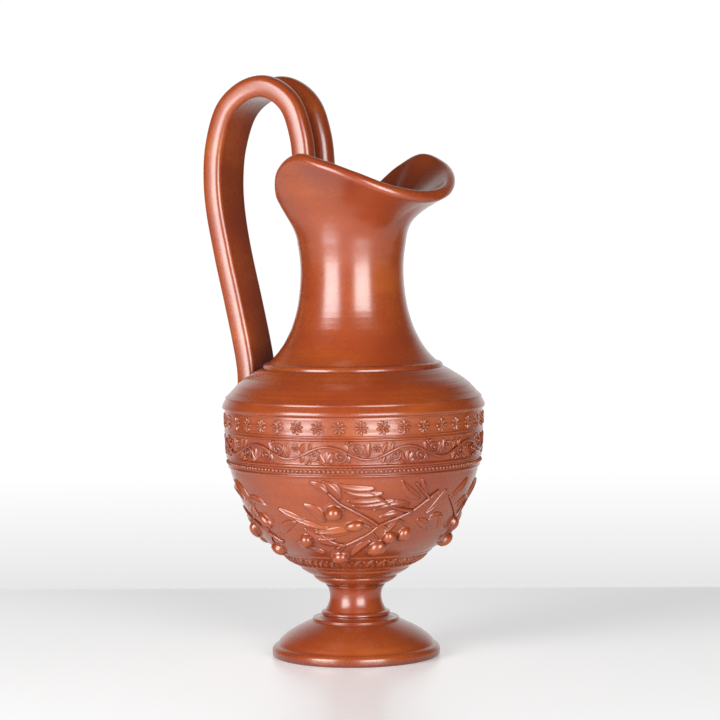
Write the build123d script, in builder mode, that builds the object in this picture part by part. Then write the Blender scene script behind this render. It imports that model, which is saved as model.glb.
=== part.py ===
from build123d import *
import math
import os

os.makedirs("parts", exist_ok=True)

# High-handled relief pitcher of slipped terracotta. Millimetres, +Z up.
# The origin is the middle of the foot's resting ring; the lip pours towards +X, the handle stands on -X.

# ---- driving dimensions ----
CLEARANCE = 0.05
FOOT_TOP_Z = 36.0
SHOULDER_Z = 131.8  # seam between bowl and shoulder
NECK_Z = 147.0  # seam between shoulder and neck
STEM_TOP_R = 14.4
SPIGOT_R = 8.0
SPIGOT_H = 3.0
LAP_R = 61.8
LAP_DEPTH = 3.4
NECK_SEAT_R = 41.6
NECK_SPIGOT_R = 39.5
NECK_SPIGOT_Z = 144.5

# the mouth: an oval flare, opened up between a low lip and two high wings
MOUTH_TURN = -17.0  # the lip stands a little off the handle's plane
MOUTH_START_Z = 210.0
MOUTH_START_R = 27.7
NECK_WALL = 4.3
# z, front reach, back reach, half width of the outer skin
MOUTH_OUTER = [
    (222.0, 32.0, 30.2, 31.5),
    (229.0, 44.5, 30.9, 34.6),
    (232.5, 54.0, 31.1, 36.4),
    (243.0, 58.0, 31.4, 41.4),
    (257.0, 59.0, 31.6, 46.4),
]
# the same for the inner skin
MOUTH_INNER = [
    (222.0, 27.0, 25.9, 27.2),
    (231.0, 36.0, 26.4, 31.6),
    (235.0, 49.0, 26.5, 33.6),
    (244.0, 53.2, 26.8, 37.4),
    (257.0, 54.0, 27.0, 42.0),
]
WING_Z = 253.0
LIP_Z = 231.0
MOUTH_CENTRE_X = 8.0
MOUTH_HALF_LENGTH = 44.0
MOUTH_MARGIN = 20.0  # how far the cut above the mouth runs past it

# the double handle: centre line as (distance behind the axis, height), joined by tangent arcs
HANDLE_START_ANGLE = 87.0
HANDLE_LINE = [
    (56.9, 132.0),
    (59.9, 157.0),
    (73.0, 210.0),
    (76.9, 241.0),
    (68.0, 276.3),
    (46.4, 289.0),
    (30.4, 279.6),
    (21.9, 256.0),
    (23.5, 214.0),
]
ROLL_R = 5.5
ROLL_PITCH = 18.0
STRAP_INNER = -5.0
STRAP_OUTER = -1.0
STRAP_TOUCH_ANGLE = 35.0  # where on a roll the strap's side passes

# relief bands
ROSETTE_COUNT = 38
ROSETTE_Z = 120.6
ROSETTE_R = 3.4
ROSETTE_BOSS_R = 0.9
ROSETTE_RISE = 0.8
ROSETTE_BOSS_RISE = 1.3
BEAD_COUNT = 172
BEAD_Z = 99.6
BEAD_R = 0.85
BEAD_LIFT = 0.2
RELIEF_ROOT = 2.0  # how deep a relief is drawn below the skin before it is trimmed
FRIEZE_COUNT = 10
FRIEZE_Z = 108.6
BOW_RISE = 3.2
BOW_GAP = 0.3
VINE_WIDTH = 1.4
CURL_R = 1.7
CURL_OFFSET = 1.9
BERRY_R = 0.95
LITTLE_LEAF_WIDTH = 2.2
LOW_LEAF_COUNT = 36
LOW_LEAF_Z = 49.6
LEAF_RELIEF = 0.9
SPRAY_COUNT = 2
SPRAY_BASE = -60.0  # bearing the spray's own angles are counted from

# outer skin of the bowl (radius, height) from the top down: bands, tangent arcs, then the underside
BOWL_BANDS = [(65.2, 125.6), (65.1, 116.0), (64.0, 102.0)]
BOWL_ARCS = [(64.0, 102.0), (60.0, 86.5), (49.5, 65.0), (38.6, 54.0)]
BOWL_ARC_LEAN = 8.5  # degrees off the vertical where the first arc starts
BOWL_UNDERSIDE = [(33.2, 49.5), (27.4, 45.4), (22.0, 42.2), (14.6, 36.0)]
# plain band under the shoulder: rim, fullest point and foot of its section
RIM_BAND = [(65.6, SHOULDER_Z), (66.5, 128.4), (65.8, 126.2)]
# half-round ridges turned on the bowl: radius of the ridge's middle, height, ridge radius
BOWL_RIDGES = [
    (18.4, 39.2, 1.7),
    (23.6, 43.3, 1.6),
    (28.6, 46.0, 0.7),
    (39.6, 53.9, 0.7),
    (62.8, 97.0, 0.7),
    (63.7, 102.1, 0.7),
    (64.8, 115.1, 0.65),
    (64.9, 116.6, 0.5),
]

# the olive spray: (angle, height) along each twig
TWIGS = [
    [(40.3, 86.4), (29.7, 78.8), (13.8, 72.8), (7.2, 67.8), (-5.0, 62.0)],
    [(11.5, 73.0), (-1.3, 80.2), (-12.2, 88.8)],
    [(80.0, 66.0), (66.0, 73.0), (52.0, 84.0)],
    [(-50.0, 63.0), (-66.0, 70.0), (-86.0, 76.0)],
]
TWIG_WIDTH = 1.6
# leaves: base angle, base height, tip angle, tip height, width
LEAVES = [
    (9.4, 91.4, -8.7, 94.0, 4.6),
    (13.8, 88.6, -4.2, 90.0, 4.4),
    (13.9, 85.0, -3.4, 84.9, 4.4),
    (-6.3, 85.4, -14.6, 95.2, 4.6),
    (-17.2, 87.6, -20.7, 94.6, 4.0),
    (-15.4, 74.8, -25.5, 83.2, 5.4),
    (27.4, 83.0, 8.5, 80.2, 4.6),
    (33.0, 84.4, 21.9, 95.0, 5.0),
    (35.8, 85.2, 32.0, 94.6, 3.6),
    (48.8, 87.6, 38.3, 76.8, 4.4),
    (21.7, 73.6, 17.0, 69.5, 2.6),
    (-12.0, 64.5, -27.6, 70.0, 4.8),
    (-38.4, 79.8, -28.6, 75.2, 4.6),
    (-54.0, 66.5, -40.0, 72.0, 5.0),
    (-84.0, 88.0, -70.0, 81.0, 4.8),
    (-66.0, 84.5, -50.0, 80.0, 4.8),
    (-88.0, 72.5, -76.5, 72.0, 4.0),
    (55.0, 81.5, 66.0, 90.0, 4.8),
    (63.0, 78.0, 80.0, 83.0, 4.8),
    (48.0, 73.0, 60.0, 66.0, 4.6),
    (76.0, 71.0, 88.0, 78.0, 4.4),
]
OLIVE_SEAT = 0.25  # how far an olive's middle stands off the skin, in short radii
# olives: angle, height, long radius, short radius, tilt of the long axis
OLIVES = [
    (-10.2, 79.0, 4.1, 3.9, 0),
    (-29.0, 64.2, 4.0, 3.4, 60),
    (-10.0, 56.6, 4.0, 3.2, 0),
    (13.6, 61.0, 5.0, 3.7, 30),
    (19.0, 66.2, 3.4, 3.0, 0),
    (27.7, 67.4, 3.9, 3.1, 60),
    (0.5, 72.4, 4.4, 2.6, 10),
    (-54.0, 73.0, 4.6, 2.6, -45),
    (-61.1, 57.5, 4.4, 2.8, -40),
    (-80.0, 66.5, 4.4, 3.2, 80),
    (79.0, 60.5, 4.6, 3.2, 50),
    (70.0, 69.5, 4.2, 3.0, 80),
]


def arc_data(start, end, heading):
    """Centre, radius and end heading of the arc that leaves start along heading and reaches end."""
    chord = math.atan2(end[1] - start[1], end[0] - start[0])
    half = chord - heading
    radius = math.dist(start, end) / (2 * math.sin(half))
    centre = (start[0] - radius * math.sin(heading), start[1] + radius * math.cos(heading))
    return centre, radius, heading + 2 * half


def skin_arcs():
    """Every arc of the bowl's skin, as (top, bottom, centre, radius)."""
    found = []
    heading = -math.pi / 2 - math.radians(BOWL_ARC_LEAN)
    for top, bottom in zip(BOWL_ARCS[:-1], BOWL_ARCS[1:]):
        centre, radius, heading = arc_data(top, bottom, heading)
        found.append((top, bottom, centre, abs(radius)))
    return found


SKIN_ARCS = skin_arcs()


def bowl_r(z):
    """Radius of the bowl's plain skin at height z."""
    for top, bottom, centre, radius in SKIN_ARCS:
        if bottom[1] <= z <= top[1]:
            return centre[0] + math.sqrt(radius**2 - (z - centre[1]) ** 2)
    straight = BOWL_BANDS if z > BOWL_ARCS[0][1] else [BOWL_ARCS[-1]] + BOWL_UNDERSIDE
    for high, low in zip(straight[:-1], straight[1:]):
        if low[1] <= z <= high[1]:
            return low[0] + (high[0] - low[0]) * (z - low[1]) / (high[1] - low[1])
    return BOWL_BANDS[0][0]


def bowl_slope(z):
    """Angle the skin faces below the horizontal at height z, in degrees."""
    return math.degrees(math.atan2(bowl_r(z + 1.0) - bowl_r(z - 1.0), 2.0))


def on_bowl(angle, z, lift=0.0):
    """Point on the bowl at a bearing and height, lifted off the skin."""
    r = bowl_r(z) + lift
    a = math.radians(angle)
    return (r * math.cos(a), r * math.sin(a), z)


def skin_plane(angle, z, lift=0.0):
    """Plane touching the bowl: its x runs round the bowl to the right, its normal outwards."""
    a = math.radians(angle)
    down = math.radians(bowl_slope(z))
    normal = (math.cos(down) * math.cos(a), math.cos(down) * math.sin(a), -math.sin(down))
    return Plane(origin=on_bowl(angle, z, lift), x_dir=(-math.sin(a), math.cos(a), 0), z_dir=normal)


def pushed(point, centre, extra):
    """The point moved straight away from the arc's centre."""
    far = math.dist(point, centre)
    share = (far + extra) / far
    return (centre[0] + (point[0] - centre[0]) * share, centre[1] + (point[1] - centre[1]) * share)


def solid_bowl(extra, ridges):
    """The bowl as a full solid, its skin moved out by extra."""
    with BuildPart() as body:
        with BuildSketch(Plane.XZ):
            with BuildLine():
                first = pushed(BOWL_ARCS[0], SKIN_ARCS[0][2], extra)
                Polyline(*[(r + extra, z) for r, z in BOWL_BANDS[:-1]], first)
                for top, bottom, centre, radius in SKIN_ARCS:
                    middle = bowl_r((top[1] + bottom[1]) / 2)
                    middle = pushed((middle, (top[1] + bottom[1]) / 2), centre, extra)
                    last = pushed(bottom, centre, extra)
                    ThreePointArc(pushed(top, centre, extra), middle, last)
                under = [(r + extra, z) for r, z in BOWL_UNDERSIDE]
                rim = [(r + extra, z) for r, z in RIM_BAND]
                Polyline(last, *under, (0, under[-1][1]), (0, SHOULDER_Z), rim[0])
                ThreePointArc(*rim)
                Line(rim[-1], (BOWL_BANDS[0][0] + extra, BOWL_BANDS[0][1]))
            make_face()
            for ridge_r, ridge_z, size in ridges:
                with Locations((ridge_r, ridge_z)):
                    Circle(size)
        revolve(axis=Axis.Z)
    return body.part


ridged_core = solid_bowl(0, BOWL_RIDGES)
core = solid_bowl(0, [])
relief_skin = solid_bowl(LEAF_RELIEF, []) - core

# ---- pedestal foot, hollow underneath, with a spigot for the bowl ----
with BuildPart() as pedestal_foot:
    with BuildSketch(Plane.XZ):
        with BuildLine():
            Line((34.0, 0.0), (40.8, 0.0))
            ThreePointArc((40.8, 0.0), (42.6, 3.0), (40.4, 5.6))
            Line((40.4, 5.6), (39.6, 6.0))
            Spline((39.6, 6.0), (35.2, 11.1), (28.4, 15.4), (22.6, 17.6))
            ThreePointArc((22.6, 17.6), (22.4, 18.9), (21.0, 19.4))
            Line((21.0, 19.4), (17.0, 20.6))
            ThreePointArc((17.0, 20.6), (17.6, 22.0), (16.2, 23.0))
            Spline((16.2, 23.0), (13.9, 26.0), (13.0, 30.0), (13.4, 33.2), (STEM_TOP_R, FOOT_TOP_Z))
            Polyline(
                (STEM_TOP_R, FOOT_TOP_Z),
                (SPIGOT_R, FOOT_TOP_Z),
                (SPIGOT_R, FOOT_TOP_Z + SPIGOT_H),
                (0, FOOT_TOP_Z + SPIGOT_H),
                (0, 16.0),
            )
            Spline(
                (0, 16.0),
                (10.0, 14.6),
                (22.0, 9.6),
                (31.5, 3.2),
                (34.0, 0.0),
                tangents=[(1, 0), (0.3, -1)],
            )
        make_face()
    revolve(axis=Axis.Z)

# ---- bowl: the full form less its cavity, the foot's socket and the lap for the shoulder ----
with BuildPart() as bowl:
    add(ridged_core)
    with BuildSketch(Plane.XZ):
        with BuildLine():
            floor = Spline(
                (0, 48.0),
                (20.0, 50.2),
                (32.0, 56.0),
                (42.0, 65.0),
                (50.0, 77.0),
                (55.4, 90.0),
                (58.6, 106.0),
                (59.2, SHOULDER_Z - LAP_DEPTH),
                tangents=[(1, 0), (0, 1)],
            )
            Polyline(
                floor @ 1,
                (LAP_R + CLEARANCE, SHOULDER_Z - LAP_DEPTH),
                (LAP_R + CLEARANCE, SHOULDER_Z),
                (0, SHOULDER_Z),
                (0, 48.0),
            )
        make_face()
    revolve(axis=Axis.Z, mode=Mode.SUBTRACT)
    with BuildSketch(Plane.XY.offset(FOOT_TOP_Z)):
        Circle(SPIGOT_R + CLEARANCE)
    extrude(amount=SPIGOT_H + CLEARANCE, mode=Mode.SUBTRACT)

# ---- shoulder, lapped into the bowl's rim ----
with BuildPart() as shoulder:
    with BuildSketch(Plane.XZ):
        with BuildLine():
            top = Spline(
                (64.6, SHOULDER_Z),
                (62.2, 134.4),
                (56.3, 140.3),
                (50.6, 144.2),
                (45.5, NECK_Z),
            )
            Polyline(
                top @ 1,
                (NECK_SPIGOT_R + CLEARANCE, NECK_Z),
                (NECK_SPIGOT_R + CLEARANCE, 142.6),
                (50.0, 138.2),
                (56.4, 132.8),
                (58.9, SHOULDER_Z - LAP_DEPTH),
                (LAP_R, SHOULDER_Z - LAP_DEPTH),
                (LAP_R, SHOULDER_Z),
                (64.6, SHOULDER_Z),
            )
        make_face()
    revolve(axis=Axis.Z)

# ---- half-round coil round the root of the neck ----
with BuildPart() as collar_bead:
    with BuildSketch(Plane.XZ):
        with BuildLine():
            Line((NECK_SEAT_R, NECK_Z), (43.8, NECK_Z))
            ThreePointArc((43.8, NECK_Z), (45.4, NECK_Z + 1.7), (43.6, NECK_Z + 3.4))
            Polyline((43.6, NECK_Z + 3.4), (NECK_SEAT_R, NECK_Z + 3.4), (NECK_SEAT_R, NECK_Z))
        make_face()
    revolve(axis=Axis.Z)


def mouth_section(z, front, back, half):
    """Oval slice of the mouth, longer to the front than to the back."""
    turn = math.radians(MOUTH_TURN)
    level = Plane(origin=(0, 0, z), x_dir=(math.cos(turn), math.sin(turn), 0), z_dir=(0, 0, 1))
    with BuildSketch(level) as section:
        with Locations(((front - back) / 2, 0)):
            Ellipse((front + back) / 2, half)
    return section.sketch


# ---- neck and mouth ----
with BuildPart() as neck_and_mouth:
    with BuildSketch(Plane.XZ):
        with BuildLine():
            throat = Spline(
                (NECK_SEAT_R, NECK_Z + 3.4),
                (37.8, 154.5),
                (32.8, 162.6),
                (28.6, 174.0),
                (26.4, 186.5),
                (26.0, 196.0),
                (26.6, 204.0),
                (MOUTH_START_R, MOUTH_START_Z),
            )
            Polyline(
                throat @ 1,
                (MOUTH_START_R - NECK_WALL, MOUTH_START_Z),
            )
            bore = Spline(
                (MOUTH_START_R - NECK_WALL, MOUTH_START_Z),
                (21.8, 197.0),
                (22.2, 187.0),
                (24.3, 174.5),
                (28.6, 163.5),
                (33.6, 155.0),
                (36.8, NECK_SPIGOT_Z),
            )
            Polyline(
                bore @ 1,
                (NECK_SPIGOT_R, NECK_SPIGOT_Z),
                (NECK_SPIGOT_R, NECK_Z),
                (NECK_SEAT_R, NECK_Z),
                (NECK_SEAT_R, NECK_Z + 3.4),
            )
        make_face()
    revolve(axis=Axis.Z)
    outer = [mouth_section(MOUTH_START_Z, MOUTH_START_R, MOUTH_START_R, MOUTH_START_R)]
    outer += [mouth_section(*row) for row in MOUTH_OUTER]
    loft(outer)
    bore_r = MOUTH_START_R - NECK_WALL
    inner = [mouth_section(MOUTH_START_Z, bore_r, bore_r, bore_r)]
    inner += [mouth_section(*row) for row in MOUTH_INNER]
    loft(inner, mode=Mode.SUBTRACT)
    # everything above the saddle between lip and wings is cut away
    turn = math.radians(MOUTH_TURN)
    forward = (math.cos(turn), math.sin(turn), 0)
    across = (math.sin(turn), -math.cos(turn), 0)
    front_x = MOUTH_CENTRE_X + MOUTH_HALF_LENGTH
    back_x = MOUTH_CENTRE_X - MOUTH_HALF_LENGTH
    with BuildSketch(Plane(origin=(0, 0, 0), x_dir=forward, z_dir=across)):
        with BuildLine():
            ThreePointArc((back_x, LIP_Z), (MOUTH_CENTRE_X, WING_Z), (front_x, LIP_Z))
            Polyline(
                (front_x, LIP_Z),
                (front_x + MOUTH_MARGIN, LIP_Z - MOUTH_MARGIN / 2),
                (front_x + MOUTH_MARGIN, WING_Z + MOUTH_MARGIN),
                (back_x - MOUTH_MARGIN, WING_Z + MOUTH_MARGIN),
                (back_x - MOUTH_MARGIN, LIP_Z - MOUTH_MARGIN / 2),
                (back_x, LIP_Z),
            )
        make_face()
    extrude(amount=2 * MOUTH_HALF_LENGTH, both=True, mode=Mode.SUBTRACT)

# ---- handle: two rolls with a strap between them ----
with BuildLine() as handle_line:
    start_angle = math.radians(HANDLE_START_ANGLE)
    heading = Vector(-math.cos(start_angle), 0, math.sin(start_angle))
    for low, high in zip(HANDLE_LINE[:-1], HANDLE_LINE[1:]):
        arc = TangentArc((-low[0], 0, low[1]), (-high[0], 0, high[1]), tangent=heading)
        heading = arc % 1

handle_foot = Plane(
    origin=(-HANDLE_LINE[0][0], 0, HANDLE_LINE[0][1]),
    x_dir=(0, 1, 0),
    z_dir=(-math.cos(start_angle), 0, math.sin(start_angle)),
)
strap_half = ROLL_PITCH / 2
inner_reach = strap_half - math.sqrt(ROLL_R**2 - STRAP_INNER**2)
outer_reach = strap_half - math.sqrt(ROLL_R**2 - STRAP_OUTER**2)
touch_reach = strap_half - ROLL_R * math.cos(math.radians(STRAP_TOUCH_ANGLE))
touch_depth = -ROLL_R * math.sin(math.radians(STRAP_TOUCH_ANGLE))


def trimmed(shape):
    """A handle piece cut off where it meets the shoulder and the neck."""
    with BuildPart() as kept:
        add(shape)
        add(shoulder.part, mode=Mode.SUBTRACT)
        add(neck_and_mouth.part, mode=Mode.SUBTRACT)
    return sorted(kept.part.solids(), key=lambda s: s.volume)[-1]


def roll(side):
    """One roll of the handle, side -1 or +1 across the handle's plane."""
    with BuildPart() as rod:
        with BuildSketch(handle_foot):
            with Locations((side * strap_half, 0)):
                Circle(ROLL_R)
        sweep(path=handle_line.wire())
    return trimmed(rod.part)


with BuildPart() as strap_raw:
    with BuildSketch(handle_foot):
        with BuildLine():
            Line((-inner_reach, STRAP_INNER), (inner_reach, STRAP_INNER))
            ThreePointArc(
                (inner_reach, STRAP_INNER),
                (touch_reach, touch_depth),
                (outer_reach, STRAP_OUTER),
            )
            Line((outer_reach, STRAP_OUTER), (-outer_reach, STRAP_OUTER))
            ThreePointArc(
                (-outer_reach, STRAP_OUTER),
                (-touch_reach, touch_depth),
                (-inner_reach, STRAP_INNER),
            )
        make_face()
    sweep(path=handle_line.wire())

with BuildPart() as handle_roll_left:
    add(roll(-1))
with BuildPart() as handle_roll_right:
    add(roll(1))
with BuildPart() as handle_strap:
    add(trimmed(strap_raw.part))

# ---- rosettes: a round flower with a raised boss ----
with BuildPart() as rosette:
    with BuildSketch(skin_plane(0, ROSETTE_Z, -RELIEF_ROOT)):
        Circle(ROSETTE_R)
    extrude(amount=RELIEF_ROOT + ROSETTE_RISE)
    with BuildSketch(skin_plane(0, ROSETTE_Z, -RELIEF_ROOT)):
        Circle(ROSETTE_BOSS_R)
    extrude(amount=RELIEF_ROOT + ROSETTE_BOSS_RISE)
    add(core, mode=Mode.SUBTRACT)
with BuildPart() as rosettes:
    with PolarLocations(0, ROSETTE_COUNT):
        add(rosette.part)

# ---- row of beads ----
with BuildPart() as bead:
    with Locations(on_bowl(0, BEAD_Z, BEAD_LIFT)):
        Sphere(BEAD_R)
    add(core, mode=Mode.SUBTRACT)
with BuildPart() as bead_row:
    with PolarLocations(0, BEAD_COUNT):
        add(bead.part)


def stroke(angle, z, outline):
    """A flat outline drawn on the plane touching the bowl, kept to the relief's thickness."""
    with BuildPart() as mark:
        with BuildSketch(skin_plane(angle, z, -RELIEF_ROOT)):
            add(outline)
        extrude(amount=2 * RELIEF_ROOT)
        add(relief_skin, mode=Mode.INTERSECT)
    return mark.part


def span(start, end):
    """Middle bearing, middle height, length and tilt of the straight line between two places on the bowl."""
    angle = (start[0] + end[0]) / 2
    z = (start[1] + end[1]) / 2
    across = math.radians(end[0] - start[0]) * bowl_r(z)
    rise = (end[1] - start[1]) / math.cos(math.radians(bowl_slope(z)))
    return angle, z, math.hypot(across, rise), math.degrees(math.atan2(rise, across))


def leaf(base_angle, base_z, tip_angle, tip_z, width):
    """A pointed leaf lying on the bowl between two places."""
    angle, z, length, tilt = span((base_angle, base_z), (tip_angle, tip_z))
    with BuildSketch() as blade:
        with BuildLine():
            ThreePointArc((-length / 2, 0), (-length * 0.08, width / 2), (length / 2, 0))
            ThreePointArc((length / 2, 0), (-length * 0.08, -width / 2), (-length / 2, 0))
        make_face()
    return stroke(angle, z, blade.sketch.rotate(Axis.Z, tilt))


def twig(places):
    """A twig along the bowl as overlapping straight strokes."""
    with BuildPart() as rod:
        for start, end in zip(places[:-1], places[1:]):
            angle, z, length, tilt = span(start, end)
            with BuildSketch() as bar:
                SlotCenterToCenter(length, TWIG_WIDTH)
            add(stroke(angle, z, bar.sketch.rotate(Axis.Z, tilt)))
    return rod.part


# ---- frieze: a waved vine of short bows with a curl, leaves and berries in every wave ----
step = 360 / FRIEZE_COUNT
bow_half = bowl_r(FRIEZE_Z) * math.sin(math.radians(step / 4)) - BOW_GAP / 2
vine_half = VINE_WIDTH / 2
with BuildSketch() as bow:
    with BuildLine():
        ThreePointArc((-bow_half, vine_half), (0, BOW_RISE + vine_half), (bow_half, vine_half))
        ThreePointArc((-bow_half, -vine_half), (0, BOW_RISE - vine_half), (bow_half, -vine_half))
        Line((-bow_half, vine_half), (-bow_half, -vine_half))
        Line((bow_half, vine_half), (bow_half, -vine_half))
    make_face()
with BuildPart() as frieze_vine:
    with PolarLocations(0, FRIEZE_COUNT):
        add(stroke(0, FRIEZE_Z, bow.sketch))
        add(stroke(step / 2, FRIEZE_Z, bow.sketch.rotate(Axis.Z, 180)))

# a tendril is a ring with a gap, one under each crest of the vine and one over each trough
with BuildSketch() as curl:
    Circle(CURL_R)
    Circle(CURL_R - VINE_WIDTH / 2, mode=Mode.SUBTRACT)
    with Locations((CURL_R, 0)):
        Rectangle(CURL_R, CURL_R, mode=Mode.SUBTRACT)
with BuildPart() as frieze_tendrils:
    with PolarLocations(0, FRIEZE_COUNT):
        add(stroke(step * -0.16, FRIEZE_Z - CURL_OFFSET, curl.sketch))
        add(stroke(step * 0.36, FRIEZE_Z + CURL_OFFSET, curl.sketch.rotate(Axis.Z, 180)))

# little leaves: share of the wave and height over the frieze's middle, of base and tip
LITTLE_LEAVES = [
    (0.00, -4.4, 0.00, 0.9),
    (-0.03, -4.4, -0.09, -0.4),
    (0.03, -4.4, 0.09, -0.4),
    (0.05, -4.4, 0.17, -2.6),
    (0.50, -1.4, 0.47, 4.2),
    (0.52, -1.2, 0.57, 3.6),
    (0.66, 1.4, 0.72, 5.0),
]
with BuildPart() as frieze_leaves:
    with PolarLocations(0, FRIEZE_COUNT):
        for base_share, base_rise, tip_share, tip_rise in LITTLE_LEAVES:
            add(
                leaf(
                    step * base_share,
                    FRIEZE_Z + base_rise,
                    step * tip_share,
                    FRIEZE_Z + tip_rise,
                    LITTLE_LEAF_WIDTH,
                )
            )

# berries: share of the wave and height over the frieze's middle
BERRIES = [(0.25, 3.9), (0.30, 4.5), (0.62, 3.4), (0.75, -3.9), (0.80, -4.5)]
with BuildPart() as berry_group:
    with Locations([on_bowl(step * share, FRIEZE_Z + rise, BEAD_LIFT) for share, rise in BERRIES]):
        Sphere(BERRY_R)
    add(core, mode=Mode.SUBTRACT)
with BuildPart() as frieze_berries:
    with PolarLocations(0, FRIEZE_COUNT):
        add(berry_group.part)

# ---- ring of small leaves under the sprays ----
low_step = 360 / LOW_LEAF_COUNT
with BuildPart() as lower_leaf_band:
    with PolarLocations(0, LOW_LEAF_COUNT):
        add(leaf(0, LOW_LEAF_Z - 1.9, low_step * 0.45, LOW_LEAF_Z + 1.9, LITTLE_LEAF_WIDTH))

# ---- olive sprays ----
with BuildPart() as olives_half:
    for angle, z, long_r, short_r, tilt in OLIVES:
        seat = skin_plane(SPRAY_BASE + angle, z, short_r * OLIVE_SEAT)
        lay = Plane(seat.location * Location((0, 0, 0), (0, 0, tilt)))
        with BuildSketch(lay):
            SlotOverall(2 * long_r, 2 * short_r)
            with Locations((0, -short_r)):
                Rectangle(4 * long_r, 2 * short_r, mode=Mode.SUBTRACT)
        revolve(axis=Axis(lay.origin, lay.x_dir))
    add(ridged_core, mode=Mode.SUBTRACT)
with BuildPart() as olive_fruits:
    with PolarLocations(0, SPRAY_COUNT):
        add(olives_half.part)

with BuildPart() as twigs_half:
    for places in TWIGS:
        add(twig([(SPRAY_BASE + angle, z) for angle, z in places]))
    add(olives_half.part, mode=Mode.SUBTRACT)
with BuildPart() as olive_twigs:
    with PolarLocations(0, SPRAY_COUNT):
        add(twigs_half.part)

with BuildPart() as leaves_half:
    for base_angle, base_z, tip_angle, tip_z, width in LEAVES:
        add(leaf(SPRAY_BASE + base_angle, base_z, SPRAY_BASE + tip_angle, tip_z, width))
    add(olives_half.part, mode=Mode.SUBTRACT)
    add(twigs_half.part, mode=Mode.SUBTRACT)
with BuildPart() as olive_leaves:
    with PolarLocations(0, SPRAY_COUNT):
        add(leaves_half.part)

pedestal_foot.part.label = "pedestal_foot"
bowl.part.label = "bowl"
shoulder.part.label = "shoulder"
collar_bead.part.label = "collar_bead"
neck_and_mouth.part.label = "neck_and_mouth"
handle_roll_left.part.label = "handle_roll_left"
handle_roll_right.part.label = "handle_roll_right"
handle_strap.part.label = "handle_strap"
rosettes.part.label = "rosettes"
bead_row.part.label = "bead_row"
frieze_vine.part.label = "frieze_vine"
frieze_tendrils.part.label = "frieze_tendrils"
frieze_leaves.part.label = "frieze_leaves"
frieze_berries.part.label = "frieze_berries"
lower_leaf_band.part.label = "lower_leaf_band"
olive_fruits.part.label = "olive_fruits"
olive_twigs.part.label = "olive_twigs"
olive_leaves.part.label = "olive_leaves"

export_step(pedestal_foot.part, "parts/pedestal_foot.step")
export_step(bowl.part, "parts/bowl.step")
export_step(shoulder.part, "parts/shoulder.step")
export_step(collar_bead.part, "parts/collar_bead.step")
export_step(neck_and_mouth.part, "parts/neck_and_mouth.step")
export_step(handle_roll_left.part, "parts/handle_roll_left.step")
export_step(handle_roll_right.part, "parts/handle_roll_right.step")
export_step(handle_strap.part, "parts/handle_strap.step")
export_step(rosettes.part, "parts/rosettes.step")
export_step(bead_row.part, "parts/bead_row.step")
export_step(frieze_vine.part, "parts/frieze_vine.step")
export_step(frieze_tendrils.part, "parts/frieze_tendrils.step")
export_step(frieze_leaves.part, "parts/frieze_leaves.step")
export_step(frieze_berries.part, "parts/frieze_berries.step")
export_step(lower_leaf_band.part, "parts/lower_leaf_band.step")
export_step(olive_fruits.part, "parts/olive_fruits.step")
export_step(olive_twigs.part, "parts/olive_twigs.step")
export_step(olive_leaves.part, "parts/olive_leaves.step")
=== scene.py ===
import math
import random

import bpy
import numpy as np
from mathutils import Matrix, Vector


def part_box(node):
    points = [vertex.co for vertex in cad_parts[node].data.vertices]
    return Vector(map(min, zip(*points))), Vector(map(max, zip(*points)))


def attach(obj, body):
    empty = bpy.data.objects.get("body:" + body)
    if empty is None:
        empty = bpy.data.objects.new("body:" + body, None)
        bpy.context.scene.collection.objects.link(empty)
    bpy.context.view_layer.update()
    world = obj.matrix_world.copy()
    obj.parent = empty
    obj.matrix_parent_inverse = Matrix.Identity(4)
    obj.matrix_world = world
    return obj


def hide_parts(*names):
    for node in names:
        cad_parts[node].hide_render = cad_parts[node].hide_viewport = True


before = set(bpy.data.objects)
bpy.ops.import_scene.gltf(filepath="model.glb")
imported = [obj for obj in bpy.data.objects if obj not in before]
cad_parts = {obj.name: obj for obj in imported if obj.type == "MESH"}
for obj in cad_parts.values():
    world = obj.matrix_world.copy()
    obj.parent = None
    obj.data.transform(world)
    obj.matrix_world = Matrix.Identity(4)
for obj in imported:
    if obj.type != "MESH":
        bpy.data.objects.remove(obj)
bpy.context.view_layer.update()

# A relief pitcher of red-slipped terracotta. Lengths are in millimetres until a mesh is made.
MM = 0.001
BODY = "root"
SMOOTH_STEPS = 288  # segments round a turned piece

# ---- driving dimensions, shared with the CAD frame ----
SHOULDER_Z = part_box("bowl")[1][2] / MM
NECK_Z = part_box("shoulder")[1][2] / MM
FOOT_TOP_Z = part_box("bowl")[0][2] / MM
WALL = 4.3

# ---- bowl skin: straight bands, three tangent arcs and a stepped underside, as (radius, height) ----
BANDS = [(65.2, 125.6), (65.1, 116.0), (64.0, 102.0)]
ARC_ENDS = [(64.0, 102.0), (60.0, 86.5), (49.5, 65.0), (38.6, 54.0)]
ARC_LEAN = 8.5
UNDERSIDE = [(33.2, 49.5), (27.4, 45.4), (22.0, 42.2), (14.6, FOOT_TOP_Z)]
# turned ridges: height, half width, rise
RIDGES = [
    (39.2, 2.0, 1.5),
    (43.4, 2.0, 1.3),
    (47.0, 0.6, 0.5),
    (53.6, 0.8, 0.7),
    (97.0, 0.65, 0.65),
    (102.1, 0.75, 0.7),
    (115.0, 0.6, 0.55),
    (116.4, 0.5, 0.4),
    (124.9, 0.5, 0.25),
]

# ---- relief bands ----
ROSETTE_COUNT = 38
ROSETTE_Z = 120.8
BEAD_COUNT = 172
BEAD_Z = 99.6
WAVE_COUNT = 10
FRIEZE_Z = 108.6
WAVE_SWING = 3.1
LOW_LEAF_COUNT = 36
LOW_LEAF_Z = 50.2
# spiral tendrils of one wave: share of the wave, height over the frieze's middle, way of turning
CURLS = [(-0.17, -1.3, 1), (0.36, 1.7, -1), (0.165, -1.6, -1)]
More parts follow.
